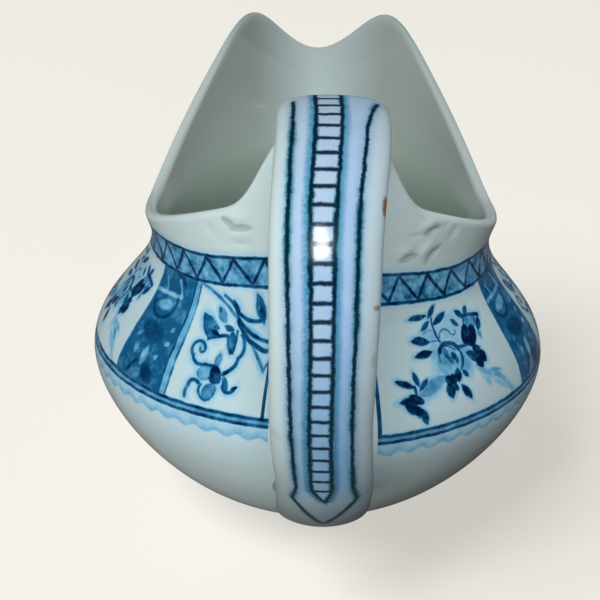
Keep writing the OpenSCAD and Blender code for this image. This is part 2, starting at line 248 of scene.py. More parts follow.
LILY = [
    ("petal", 14.2, 15.9, -31, 6.8, 1.4, 1, 0.46, 0.36), ("petal", 5.2, 12.4, 29, 1.4, 1.4, 2, 0.40, 0.28),
    ("petal", 15.0, 20.0, -65, 5.4, 1.8, 1, 0.74, 0.86), ("petal", 15.4, 19.4, -68, 3.8, 1.0, 1, 0.95, 0.85),
    ("petal", 5.3, 16.2, -43, 5.4, 2.4, 1, 0.72, 0.80), ("petal", 6.8, 15.2, -23, 2.6, 0.8, 1, 1.00, 0.85),
    ("petal", 7.3, 18.3, -48, 3.5, 1.6, 1, 0.64, 0.72), ("petal", 6.6, 19.0, -39, 1.2, 0.5, 2, 0.85, 0.70),
    ("petal", 9.3, 16.3, -18, 2.5, 1.0, 1, 0.85, 0.75), ("petal", 10.6, 14.0, -77, 3.8, 1.7, 1, 0.74, 0.80),
    ("petal", 10.9, 12.6, -62, 1.1, 0.5, 2, 0.95, 0.80), ("petal", 9.1, 10.9, 87, 2.4, 1.2, 1, 0.60, 0.68),
    ("petal", 7.5, 8.5, 23, 2.9, 2.4, 2, 0.50, 0.68), ("petal", 9.0, 5.6, 63, 3.0, 2.1, 2, 0.62, 0.72),
    ("petal", 9.4, 8.5, -65, 3.2, 1.9, 2, 1.05, 0.92), ("petal", 9.4, 7.6, -11, 2.4, 1.4, 1, 1.00, 0.85),
    ("petal", 10.9, 9.0, 38, 1.3, 0.7, 2, 0.98, 0.85), ("petal", 11.4, 7.4, -62, 2.5, 0.9, 2, 0.72, 0.76),
    ("petal", 13.1, 6.9, 37, 1.1, 0.6, 2, 1.00, 0.85),
    ("stroke", (6.9, 21.5), (8.8, 20.5), (10.2, 19.3), 0.63, 0.81),
    ("stroke", (10.2, 19.3), (12.2, 18.2), (15.3, 18.0), 0.63, 0.85),
    ("stroke", (9.1, 20.5), (9.9, 19.8), (10.6, 18.8), 0.88, 0.88),
    ("stroke", (10.8, 18.0), (13.5, 16.1), (17.1, 14.8), 0.67, 0.88),
    ("stroke", (10.9, 17.6), (13.3, 15.1), (17.4, 13.3), 0.73, 0.91),
    ("stroke", (3.4, 18.0), (5.1, 17.4), (7.1, 16.0), 0.47, 0.75),
    ("stroke", (3.3, 18.0), (4.4, 15.6), (6.0, 14.2), 0.52, 0.75),
    ("stroke", (5.9, 14.1), (7.4, 14.6), (9.3, 15.0), 0.63, 0.88),
    ("stroke", (11.1, 15.9), (11.3, 14.1), (11.3, 12.4), 0.52, 0.83),
    ("stroke", (9.6, 14.9), (10.2, 13.5), (10.9, 12.3), 0.47, 0.83),
    ("stroke", (12.3, 15.4), (13.2, 13.6), (12.7, 11.6), 0.67, 0.83),
    ("stroke", (12.7, 11.6), (12.1, 10.1), (10.9, 9.1), 0.67, 0.88),
    ("stroke", (4.2, 10.9), (4.2, 13.3), (5.9, 12.6), 0.63, 0.79),
    ("stroke", (5.9, 12.6), (5.8, 11.8), (5.0, 12.2), 0.52, 0.75),
    ("stroke", (4.2, 10.9), (5.4, 9.7), (7.0, 9.8), 0.63, 0.81),
    ("stroke", (7.0, 9.8), (7.8, 9.8), (8.8, 9.9), 0.57, 0.85),
    ("stroke", (7.3, 6.4), (7.5, 4.8), (8.6, 4.2), 0.52, 0.77),
    ("stroke", (8.6, 4.2), (9.7, 4.9), (9.8, 6.5), 0.47, 0.73),
    ("stroke", (6.8, 6.7), (5.8, 6.9), (5.2, 5.9), 0.67, 0.83),
    ("stroke", (5.2, 5.9), (5.0, 5.0), (5.1, 4.0), 0.63, 0.75),
    ("stroke", (11.2, 7.2), (11.9, 6.1), (13.1, 6.8), 0.63, 0.83),
    ("stroke", (17.2, 10.2), (17.4, 10.1), (17.7, 9.9), 0.57, 0.65),
]
# Light and dark marks on the ground of a pilaster, from its lower left corner
FIGURE = [
    ("stroke", (-0.4, 18.9), (4.4, 19.2), (8.4, 19.4), 0.61, 0.90),
    ("stroke", (8.4, 19.4), (7.8, 20.7), (6.8, 22.1), 0.52, 0.80),
    ("stroke", (2.2, 21.5), (2.9, 20.6), (3.4, 19.6), 0.43, 0.70),
    ("petal", 4.7, 17.1, 10, 4.5, 1.8, 2, 0.85, 0.60), ("petal", 5.8, 7.5, -95, 3.8, 1.4, 1, 0.85, 0.60),
    ("petal", 9.6, 13.6, 42, 1.1, 0.7, 2, 0.70, 0.50), ("petal", 9.7, 11.0, 33, 1.3, 0.9, 2, 0.80, 0.50),
    ("petal", 8.6, 8.2, 65, 1.0, 0.8, 2, 0.70, 0.50), ("petal", 3.1, 7.9, 98, 1.7, 1.0, 2, 0.50, 0.30),
    ("petal", 2.4, 10.7, 39, 1.7, 0.8, 2, 0.45, 0.30), ("petal", 8.7, 16.8, -26, 5.3, 2.7, 2, 0.32, 0.22),
    ("petal", 4.5, 3.6, 41, 4.9, 1.7, 2, 0.34, 0.24),
]
SHADE = [
    ("stroke", (1.2, 16.9), (6.0, 15.1), (7.6, 19.0), 0.57, 0.90),
    ("petal", 7.7, 4.9, -47, 3.6, 2.3, 2, 0.95, 0.70), ("petal", 5.0, 12.0, -13, 6.4, 3.0, 2, 0.70, 0.50),
    ("stroke", (3.0, 3.7), (3.6, 5.0), (4.5, 6.2), 0.61, 0.90),
    ("stroke", (5.6, 23.2), (7.3, 22.8), (8.4, 21.8), 0.66, 0.80),
]
# Moulded scrolls on the collar: millimetres round from the handle and up the wall, turn in degrees, half
# length, half width, and how far each stands out of the wall. The creases go in
SCROLLS = [
    (17.6, 37.0, 21, 3.4, 1.7, 0.34), (18.45, 35.6, 21, 2.0, 0.75, -0.50), (15.2, 35.0, 4, 3.0, 0.8, -0.16),
    (17.6, 32.3, 47, 3.2, 1.8, 0.36), (19.2, 31.1, 47, 2.3, 0.75, -0.55), (13.6, 32.5, 16, 2.8, 1.6, 0.26),
    (14.35, 31.1, 16, 1.9, 0.85, -0.36), (21.6, 36.4, 80, 1.6, 0.7, -0.22), (23.4, 34.4, 60, 3.0, 1.6, -0.20),
    (-14.8, 37.9, -5, 3.2, 1.7, 0.28), (-16.4, 36.8, -35, 1.7, 0.8, -0.34), (-14.3, 36.15, 8, 2.2, 0.8, -0.28),
    (-14.3, 34.7, 0, 3.6, 1.5, 0.20), (-14.3, 33.2, 0, 3.0, 0.9, -0.20), (-20.2, 34.8, -50, 3.0, 1.6, -0.16),
]
# Lines of the ladder print by millimetres from the crest, each at its millimetres across the strap
LADDER = {
    "left line": ((0, -5.8), (8, -5.8), (35, -5.1), (57, -4.3), (70, -4.2), (73.6, -5.0), (83.6, 0.0)),
    "right line": ((0, 6.8), (4, 5.6), (9, 4.7), (20, 4.3), (48, 4.15), (58, 4.4), (70, 4.35),
                   (73.6, 5.0), (83.6, 0.0)),
    "left rail": ((0, -2.6), (20, -2.5), (35, -1.95), (57, -1.7), (70, -1.9), (73.6, 0.1)),
    "right rail": ((0, 1.1), (35, 1.15), (57, 1.4), (70, 1.2), (73.6, 0.1)),
}
# Brown stains by their millimetres across the strap and along it from the crest
STAINS = [
    ("petal", 7.7, 22.0, 90, 3.2, 0.9, 2, 1.0, 0.5), ("petal", 7.0, 36.6, 20, 1.1, 0.8, 2, 0.7, 0.3),
    ("petal", -6.6, 58.0, 70, 2.4, 1.6, 2, 0.15, 0.05), ("petal", 6.9, 44.5, 90, 2.6, 0.8, 2, 0.25, 0.1),
]


# ---------------------------------------------------------------- shape of the jug

def mix(a, b, t):
    return a + (b - a) * t


def ease(t):
    u = max(0.0, min(1.0, t))
    return u * u * (3 - 2 * u)


def bezier(p, t):
    return p[0] * (1 - t) ** 3 + p[1] * (3 * t * (1 - t) ** 2) + p[2] * (3 * t * t * (1 - t)) + p[3] * t ** 3


def swell(a, half, power):
    """A bell that is 1 at nothing and falls off at its half width."""
    return math.exp(-(a / half) ** power)


class Wall:
    """Wall of the jug by its place on the wall curve (0 foot, 1 belly, 2 neck, 3 rim) and the
    angle from the spout in degrees, as radius and height."""

    def __init__(self, bowl, foot):
        b = self.bowl = bowl
        neck_z = b.belly_z + b.shoulder_h
        side_z = neck_z + b.collar_h
        self.rim_r = b.neck_r + b.collar_flare
        self.foot_z = foot.height
        self.curve = [[Vector(p) for p in part] for part in (
            ((foot.radius, foot.height), (foot.radius + b.underside_run, foot.height + b.belly_z / 13),
             (b.belly_r, b.belly_z - b.belly_turn), (b.belly_r, b.belly_z)),
            ((b.belly_r, b.belly_z), (b.belly_r, b.belly_z + b.shoulder_turn),
             (b.neck_r, neck_z - b.neck_turn), (b.neck_r, neck_z)),
            ((b.neck_r, neck_z), (b.neck_r, mix(neck_z, side_z, 0.35)),
             (self.rim_r - 0.3 * b.collar_flare, mix(neck_z, side_z, 0.75)), (self.rim_r, side_z)))]

    def side(self, v):
        """Wall curve at the side, where neither the spout nor the back pulls it."""
        part = max(0, min(2, int(v)))
        return bezier(self.curve[part], v - part)

    def rim_lift(self, a):
        """Height of the rim over its height at the sides."""
        b = self.bowl
        return (b.spout_rise * ease((88 - a) / 76) - b.lip_dip * swell(a, b.lip_deg, 2)
                + b.back_rise * ease((a - 92) / 88) + b.back_peak * swell(180 - a, b.back_peak_deg, 4))

    def skin(self, v, a):
        """Outer skin, which the spout pulls out and the rim pulls up."""
        pull = max(0.0, (v - 1) / 2)
        out = self.bowl.spout_reach * swell(a, self.bowl.spout_deg, 2) * pull ** REACH_FADE
        return self.side(v) + Vector((out, self.rim_lift(a) * pull ** LIFT_FADE))

    def up(self, v, a):
        return (self.skin(min(3, v + 0.01), a) - self.skin(max(0, v - 0.01), a)).normalized()

    def out(self, v, a):
        up = self.up(v, a)
        return Vector((up.y, -up.x))

    def lining(self, v, a):
        return self.skin(v, a) - self.bowl.wall * self.out(v, a)

    def rim(self, q, a):
        """Rounded edge of the rim, from the skin at 0 degrees to the lining at 180."""
        half = self.bowl.wall / 2
        q = math.radians(q)
        return self.skin(3, a) + half * ((math.cos(q) - 1) * self.out(3, a) + math.sin(q) * self.up(3, a))

    def place_at(self, z, a):
        """Place on the wall curve that has a given height."""
        low, high = 0.0, 3.0
        for _ in range(26):
            m = (low + high) / 2
            low, high = (m, high) if self.skin(m, a).y < z else (low, m)
        return (low + high) / 2

    def radius_at(self, z, a):
        return self.skin(self.place_at(z, a), a).x

    def back_angle(self, x, r):
        return 180 - math.degrees(math.asin(min(0.98, abs(x) / r)))

    def back_point(self, x, z, depth=0.0):
        """Point on the skin behind the jug, or a depth inside it, by its distance from the middle and its height."""
        a = self.back_angle(x, self.radius_at(z, self.back_angle(x, self.radius_at(z, 180))))
        r = self.radius_at(z, a)
        return Vector((x, depth - math.sqrt(r * r - x * x), z))

    def lengths(self, places, a):
        """Length of the wall at an angle from its widest line to each of some places, in millimetres."""
        points = [self.skin(v, a) for v in places]
        run = [0.0]
        for p, q in zip(points, points[1:]):
            run.append(run[-1] + (q - p).length / MM)
        zero = run[places.index(1.0)]
        return [l - zero for l in run]


def moulded(x, y):
    """How far the moulded scrolls stand out at a place on the collar, in millimetres."""
    high = 0.0
    for at_x, at_y, turn, long, wide, rise in SCROLLS:
        c, s = math.cos(math.radians(turn)), math.sin(math.radians(turn))
        ahead, aside = (x - at_x) * c + (y - at_y) * s, (y - at_y) * c - (x - at_x) * s
        high += rise * math.exp(-4 * ((ahead / long) ** 2 + (aside / wide) ** 2))
    return high


class Strap:
    """Strap of the handle by its place on the middle line (0 upper seat, 1 crest, 2 farthest
    place, 3 lower seat)."""

    def __init__(self, strap, wall):
        self.size, self.wall = strap, wall
        self.upper_z = wall.skin(3, 180).y - strap.seat_drop
        self.lower_z = wall.bowl.belly_z - strap.low_drop
        upper = Vector((-wall.radius_at(self.upper_z, 180), self.upper_z))
        lower = Vector((-wall.radius_at(self.lower_z, 180), self.lower_z))
        crest = upper + Vector((-strap.crest_back, strap.crest_rise))
        far = Vector((-wall.bowl.belly_r - strap.reach, wall.bowl.belly_z + strap.far_h))
        self.parts = [
            [upper, upper + Vector((-0.30 * strap.crest_back, 0.36 * strap.crest_rise)),
             crest + Vector((0.45 * strap.crest_back, 0)), crest],
            [crest, Vector((mix(crest.x, far.x, 0.54), crest.y)), Vector((far.x, mix(far.y, crest.y, 0.62))), far],
            [far, Vector((far.x, mix(far.y, lower.y, 0.52))),
             Vector((mix(lower.x, far.x, 0.38), lower.y - 0.10 * (far.y - lower.y))), lower]]
        self.steps = 300
        self.lengths = [0.0]
        for i in range(3 * self.steps):
            ends = self.outer((i + 1) / self.steps) - self.outer(i / self.steps)
            self.lengths.append(self.lengths[-1] + ends.length / MM)
        self.end_a = strap.slip_len / self.part_length(0)
        self.end_b = strap.slip_len / self.part_length(2)

    def part_length(self, k, n=24):
        p = [bezier(self.parts[k], i / n) for i in range(n + 1)]
        return sum((b - a).length for a, b in zip(p, p[1:]))

    def line(self, t):
        k = min(2, int(t))
        return bezier(self.parts[k], t - k)

    def normal(self, t):
        d = (self.line(min(3, t + 0.004)) - self.line(max(0, t - 0.004))).normalized()
        return Vector((d.y, -d.x))

    def half_w(self, t):
        return mix(self.size.top_w, self.size.low_w, ease((t - 0.8) / 1.4)) / 2

    def section(self, q, t=0.0):
        """Point of the strap's section, which is rounder where the strap turns in at its lower end."""
        power = 2 / mix(2.6, 1.9, ease((t - 1.9) / 0.6))
        return [math.copysign(abs(w) ** power, w) for w in (math.cos(q), math.sin(q))]

    def outer(self, t):
        return self.line(t) + self.size.thick / 2 * self.normal(t)

    def along(self, t):
        """Millimetres along the outside of the strap from its crest."""
        return self.lengths[round(t * self.steps)] - self.lengths[self.steps]

    def seat(self, upper, q, share, margin, depth=0.0):
        """Point of the strap's end on the jug, or a share of the way out to it from the middle of the seat."""
        across, through = self.section(q)
        x = (self.half_w(0 if upper else 3) + margin) * across
        half = self.size.thick / 2
        if upper:
            h = half * 1.5 + margin
            room = (self.wall.skin(3, self.wall.back_angle(x, self.wall.rim_r)).y
                    - 1.2 * MM * (1 - 0.8 * margin / self.size.slip_w) - self.upper_z)
            z = self.upper_z + share * min(h * through, room + 0.35 * h * (through - 1))
        else:
            z = self.lower_z - share * (half + margin) * through
        return self.wall.back_point(share * x, z, depth)

    def ring(self, t, q):
        """Point of the strap's skin, with the slip drawn out on the jug at both ends."""
        near, ends = (t, self.end_a) if t < 1.5 else (3 - t, self.end_b)
        margin = self.size.slip_w * max(0.0, 1 - near / ends) ** 1.7
        across, through = self.section(q, t)
        p = self.line(t) + (self.size.thick / 2 + margin) * through * self.normal(t)
        s = self.along(t)
        start, full, fade, gone = LEAN
        lean = self.size.lean * ease((s - start) / (full - start)) * ease((gone - s) / (gone - fade))
        point = Vector(((self.half_w(t) + margin) * across - lean, p.x, p.y))
        settle = max(0.0, 1 - near / (SETTLE * ends)) ** 2
        return point.lerp(self.seat(t < 1.5, q, 1, margin), settle) if settle else point


# ---------------------------------------------------------------- meshes

def tube(rows, around):
    """A tube of rows one unit apart, spun from one line of vertices, for a formula to shape."""
    bm = bmesh.new()
    line = [bm.verts.new((0, 1, i)) for i in range(rows)]
    edges = [bm.edges.new(pair) for pair in zip(line, line[1:])]
    bmesh.ops.spin(bm, geom=line + edges, cent=(0, 0, 0), axis=(0, 0, 1), angle=math.tau,
                   steps=around, use_merge=True)
    return bm


def shape(bm, place, along, crowd=0.0):
    """Unwraps the tube, with its seam at the line it was spun from, then puts each vertex at
    its place by row and turn. The turn is in degrees from the far side, -180 to 180, and the
    columns crowd towards that side."""
    def turned(angle):
        return math.degrees(angle - crowd * math.sin(angle))

    uv = bm.loops.layers.uv.new("surface")
    for face in bm.faces:
        middle = face.calc_center_median()
        centre = math.degrees(math.atan2(middle.x, -middle.y))
        for loop in face.loops:
            co = loop.vert.co
            turn = math.degrees(math.atan2(co.x, -co.y))
            turn -= 360 * round((turn - centre) / 360)
            turn = turned(math.radians(turn))
            loop[uv].uv = (turn / 360 + 0.5, along(round(co.z), turn))
    for vert in bm.verts:
        vert.co = place(round(vert.co.z), turned(math.atan2(vert.co.x, -vert.co.y)))


def piece(name, bm, material, slot, *nodes):
    """Closes and smooths a mesh and makes it the piece that stands for some CAD nodes."""
    bmesh.ops.remove_doubles(bm, verts=bm.verts, dist=1e-6)
    bmesh.ops.recalc_face_normals(bm, faces=bm.faces)
    for face in bm.faces:
        face.smooth = True
    mesh = bpy.data.meshes.new(name)
    bm.to_mesh(mesh)
    bm.free()
    mesh.materials.append(material)
    made = bpy.data.objects.new(name, mesh)
    bpy.context.scene.collection.objects.link(made)
    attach(made, "root")
    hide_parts(*nodes)
    return made


# ---------------------------------------------------------------- materials

def add(tree, kind, feeds=(), out=0, **settings):
    """Adds one node with its settings, links or sets its inputs, and gives back one output, if it has any."""
    node = tree.nodes.new("ShaderNode" + kind)
    for key, value in settings.items():
        setattr(node, key, value)
    for key, feed in (feeds.items() if isinstance(feeds, dict) else enumerate(feeds)):
        if isinstance(feed, bpy.types.NodeSocket):
            tree.links.new(feed, node.inputs[key])
        elif feed is not None:
            node.inputs[key].default_value = feed
    return node.outputs[out] if node.outputs else None


def new_material(name):
    material = bpy.data.materials.new(name)
    material.use_nodes = True
    material.node_tree.nodes.clear()
    return material, material.node_tree


def new_group(name, inputs):
    group = bpy.data.node_groups.new(name, "ShaderNodeTree")
    for label, kind in inputs:
        group.interface.new_socket(name=label, in_out="INPUT", socket_type="NodeSocket" + kind)
    group.interface.new_socket(name="Ink", in_out="OUTPUT", socket_type="NodeSocketFloat")
    entry = group.nodes.new("NodeGroupInput")
    leave = group.nodes.new("NodeGroupOutput")
    return group, entry.outputs, leave.inputs


def petal_group(run):
    """Ink of one petal or leaf: pointed where its bend is 1, oval where it is 2. A little of it has
    run out around the mark."""
    group, get, give = new_group("petal of ink", (
        ("Point", "Vector"), ("Place", "Vector"), ("Turn", "Float"), ("Half", "Vector"),
        ("Bend", "Float"), ("Core", "Float"), ("Edge", "Float")))
    away = add(group, "VectorMath", [get["Point"], get["Place"]], operation="SUBTRACT")
    back = add(group, "VectorRotate", {"Vector": away, "Angle": get["Turn"]}, rotation_type="Z_AXIS", invert=True)
    share = add(group, "SeparateXYZ", [add(group, "VectorMath", [back, get["Half"]], operation="DIVIDE")])
    wide = add(group, "Math", [add(group, "Math", [share.node.outputs[1]], operation="ABSOLUTE"), get["Bend"]],
               operation="POWER")
    long = add(group, "Math", [share, share], operation="MULTIPLY")
    inside = add(group, "Math", [long, wide], operation="ADD")
    around = add(group, "Math", [wide, wide, long], operation="MULTIPLY_ADD")
    tone = add(group, "MapRange", [inside, 0.95, 0.35, get["Edge"], get["Core"]], clamp=False, **SMOOTH)
    body = add(group, "MapRange", [inside, 1.35, 0.65, 0.0, 1.0], clamp=False, **SMOOTH)
    halo = add(group, "MapRange", [around, 3.4, 0.7, 0.0, run], clamp=False, **SMOOTH)
    ink = add(group, "Math", [add(group, "Math", [tone, body], operation="MULTIPLY"), halo], operation="MAXIMUM")
    group.links.new(ink, give["Ink"])
    return group


def stroke_group(run):
    """Ink of one curved stroke: the part of a ring within an angle of the way it faces. A little of
    it has run out too."""
    group, get, give = new_group("stroke of ink", (
        ("Point", "Vector"), ("Centre", "Vector"), ("Radius", "Float"), ("Facing", "Vector"),
        ("Across", "Vector"), ("Reach", "Float"), ("Half", "Float"), ("Tone", "Float")))
    away = add(group, "VectorMath", [get["Point"], get["Centre"]], operation="SUBTRACT")
    far = add(group, "VectorMath", [away], out="Value", operation="LENGTH")
    off = add(group, "Math", [add(group, "Math", [far, get["Radius"]], operation="SUBTRACT")], operation="ABSOLUTE")
    ahead = add(group, "VectorMath", [away, get["Facing"]], out="Value", operation="DOT_PRODUCT")
    aside = add(group, "VectorMath", [away, get["Across"]], out="Value", operation="DOT_PRODUCT")
    angle = add(group, "Math", [add(group, "Math", [aside, ahead], operation="ARCTAN2")], operation="ABSOLUTE")
    past = add(group, "Math", [angle, get["Radius"], get["Reach"]], operation="MULTIPLY_ADD")
    edge = add(group, "Math", [add(group, "Math", [off, past], operation="MAXIMUM"), get["Half"]], operation="DIVIDE")
    ink = add(group, "MapRange", [edge, 1.6, 0.4, 0.0, get["Tone"]], clamp=False, **SMOOTH)
    halo = add(group, "MapRange", [edge, 5.0, 0.8, 0.0, run], clamp=False, **SMOOTH)
    ink = add(group, "Math", [ink, halo], operation="MAXIMUM")
    group.links.new(ink, give["Ink"])
    return group


def arc(p, q, r):
    """Centre, radius, way of facing, way across and reach of the ring that a stroke through three
    points lies on. The reach is less than nothing by the length of half the stroke."""
    (ax, ay), (bx, by), (cx, cy) = p, q, r
    d = 2 * (ax * (by - cy) + bx * (cy - ay) + cx * (ay - by))
    d = d if abs(d) > 0.05 else 0.05
    ux = ((ax * ax + ay * ay) * (by - cy) + (bx * bx + by * by) * (cy - ay) + (cx * cx + cy * cy) * (ay - by)) / d
    uy = ((ax * ax + ay * ay) * (cx - bx) + (bx * bx + by * by) * (ax - cx) + (cx * cx + cy * cy) * (bx - ax)) / d
    centre = Vector((ux, uy, 0))
    start = Vector((ax, ay, 0)) - centre
    across = Vector((cx - ax, cy - ay, 0)).normalized()
    facing = Vector((-across.y, across.x, 0))
    if facing.dot(Vector((bx, by, 0)) - centre) < 0:
        facing = -facing
    half = math.atan2(abs(start.dot(across)), start.dot(facing))
    return centre, start.length, facing, across, -half * start.length


def draw(tree, point, marks, petal, stroke):
    """Lays the marks of a motif over each other and gives back the darkest ink at each place."""
    ink = None
    for mark in marks:
        if mark[0] == "petal":
            x, y, turn, long, wide, bend, core, edge = mark[1:]
            half = (long * 0.53, wide * 0.58, 1)
            one = add(tree, "Group", [point, (x, y, 0), math.radians(turn), half, bend, core, edge], node_tree=petal)
        else:
            one = add(tree, "Group", [point, *arc(*mark[1:4]), mark[4] * 0.58, mark[5]], node_tree=stroke)
        ink = one if ink is None else add(tree, "Math", [ink, one], operation="MAXIMUM")
    return ink


def flowers(tree, point, px, py, panel):
    """Ink of the flowers on the panels, a bouquet and a lily in turn."""
    petal, stroke = petal_group(0.32), stroke_group(0.30)
    bouquet = draw(tree, point, BOUQUET, petal, stroke)
    # Lily panels turn back on themselves about their stem
    beyond = add(tree, "Math", [px, -STEM], operation="ADD")
    fold = add(tree, "Math", [add(tree, "Math", [beyond, -1.0], operation="MULTIPLY"),
                              add(tree, "Math", [beyond, 1.3], operation="MULTIPLY")], operation="MAXIMUM")
    fold = add(tree, "Math", [STEM, fold], operation="SUBTRACT")
    lily = draw(tree, add(tree, "CombineXYZ", [fold, py]), LILY, petal, stroke)
    odd = add(tree, "Math", [panel, 2.0], operation="MODULO")
    return add(tree, "Mix", {0: odd, 2: bouquet, 3: lily}, data_type="FLOAT")


def pilasters(tree, px, py, turn, panel, cloud):
    """Ink of the pilasters between the panels: mottled blue with figures, and a paler strip along one side."""
    petal, stroke = petal_group(0.0), stroke_group(0.0)
    # They are broad enough to run 1.6 mm into the next panel, and splay a little towards the neck
    early = add(tree, "Math", [add(tree, "Math", [px, 1.6], operation="LESS_THAN"),
                               add(tree, "Math", [panel, 0.5], operation="GREATER_THAN")], operation="MULTIPLY")
    post = add(tree, "Math", [px, -29.5], operation="ADD")
    post = add(tree, "Math", [early, PANEL_DEG * PRINT_MM, post], operation="MULTIPLY_ADD")
    splay = add(tree, "Math", [add(tree, "Math", [turn, math.pi / 180], operation="MULTIPLY")], operation="SINE")
    splay = add(tree, "Math", [add(tree, "Math", [splay, -0.07], operation="MULTIPLY"), py], operation="MULTIPLY")
    post = add(tree, "Math", [post, splay], operation="ADD")
    there = add(tree, "CombineXYZ", [post, py])
    ground = add(tree, "MapRange", [cloud, 0.32, 0.68, 0.98, 0.58], **SMOOTH)
    ground = add(tree, "Math", [draw(tree, there, SHADE, petal, stroke), 0.24, ground], operation="MULTIPLY_ADD")
    ground = add(tree, "Math", [draw(tree, there, FIGURE, petal, stroke), -0.36, ground], operation="MULTIPLY_ADD")
    strip = add(tree, "MapRange", [post, 11.3, 11.6, 0.0, 1.0])
    ground = add(tree, "Mix", {0: strip, 2: ground, 3: 0.50}, data_type="FLOAT")
    line = add(tree, "Math", [add(tree, "Math", [post, -11.4], operation="ADD")], operation="ABSOLUTE")
    line = add(tree, "MapRange", [line, 0.42, 0.14, 0.0, 0.9])
    middle = add(tree, "Math", [add(tree, "Math", [post, -6.4], operation="ADD")], operation="ABSOLUTE")
    edge = add(tree, "Math", [add(tree, "Math", [middle, -6.4], operation="ADD")], operation="ABSOLUTE")
    edge = add(tree, "MapRange", [edge, 0.45, 0.12, 0.0, 0.7])
    post_on = add(tree, "MapRange", [middle, 6.7, 6.3, 0.0, 1.0])
    ground = add(tree, "Math", [ground, line], operation="MAXIMUM")
    ground = add(tree, "Math", [ground, post_on], operation="MULTIPLY")
    return add(tree, "Math", [ground, edge], operation="MAXIMUM")


def neck_band(tree, px, py, panel, cloud):
    """Ink of the band on the neck: a zigzag between two lines, steep to one side."""
    tooth = add(tree, "Math", [add(tree, "Math", [add(tree, "Math", [px, PRINT_MM], operation="DIVIDE"),
                                                  add(tree, "Math", [panel, PANEL_DEG], operation="MULTIPLY")],
                                   operation="ADD"), 7.13], operation="SUBTRACT")
    tooth = add(tree, "Math", [add(tree, "Math", [tooth, TOOTH_DEG], operation="DIVIDE")], operation="FRACT")
    left = add(tree, "Math", [1.0, tooth], operation="SUBTRACT")
    wave = add(tree, "Math", [add(tree, "Math", [tooth, TOOTH_RISE], operation="DIVIDE"),
                              add(tree, "Math", [left, 1 - TOOTH_RISE], operation="DIVIDE")], operation="MINIMUM")
    level = add(tree, "MapRange", [wave, 0.0, 1.0, 23.7, 27.8], clamp=False)
    zig = add(tree, "Math", [add(tree, "Math", [py, level], operation="SUBTRACT")], operation="ABSOLUTE")
    steep = add(tree, "Math", [add(tree, "Math", [tooth, TOOTH_RISE], operation="LESS_THAN"), 0.52, 1.38],
                operation="MULTIPLY_ADD")
    zig = add(tree, "Math", [zig, steep], operation="DIVIDE")
    zig = add(tree, "MapRange", [zig, 0.62, 0.20, 0.0, 1.0], **SMOOTH)
    band = add(tree, "Math", [zig, add(tree, "MapRange", [cloud, 0.3, 0.7, 0.47, 0.68])], operation="MAXIMUM")
    centre = add(tree, "Math", [add(tree, "Math", [py, -25.75], operation="ADD")], operation="ABSOLUTE")
    rails = add(tree, "Math", [add(tree, "Math", [centre, -2.4], operation="ADD")], operation="ABSOLUTE")
    rails = add(tree, "MapRange", [rails, 0.55, 0.2, 0.0, 0.98], **SMOOTH)
    band_on = add(tree, "MapRange", [centre, 2.95, 2.5, 0.0, 1.0])
    band = add(tree, "Math", [band, rails], operation="MAXIMUM")
    band = add(tree, "Math", [band, band_on], operation="MULTIPLY")
    bloom = add(tree, "MapRange", [centre, 4.2, 2.4, 0.0, 0.24], **SMOOTH)
    return add(tree, "Math", [band, bloom], operation="MAXIMUM")


def belly_lines(tree, py, start):
    """Ink of the double line on the widest part of the bowl, and of the pale scalloped hem under it."""
    double = add(tree, "Math", [add(tree, "Math", [py, -2.18], operation="ADD")], operation="ABSOLUTE")
    pair = add(tree, "Math", [add(tree, "Math", [double, -0.52], operation="ADD")], operation="ABSOLUTE")
    pair = add(tree, "MapRange", [pair, 0.50, 0.16, 0.0, 0.92], **SMOOTH)
    between = add(tree, "MapRange", [double, 1.4, 0.4, 0.0, 0.56])
    ink = add(tree, "Math", [pair, between], operation="MAXIMUM")
    scallop = add(tree, "Math", [add(tree, "Math", [start, math.pi / 5.22], operation="MULTIPLY")], operation="SINE")
    scallop = add(tree, "Math", [add(tree, "Math", [scallop, scallop], operation="MULTIPLY"), 0.75, py],
                  operation="MULTIPLY_ADD")
    hem = add(tree, "MapRange", [scallop, -0.65, 0.0, 0.0, 1.0], **SMOOTH)
    hem = add(tree, "Math", [hem, add(tree, "MapRange", [py, 1.7, 1.4, 0.0, 1.0])], operation="MULTIPLY")
    hem_tone = add(tree, "MapRange", [scallop, -0.3, 1.3, 0.44, 0.26])
    hem = add(tree, "Math", [hem, hem_tone], operation="MULTIPLY")
    return add(tree, "Math", [ink, hem], operation="MAXIMUM")


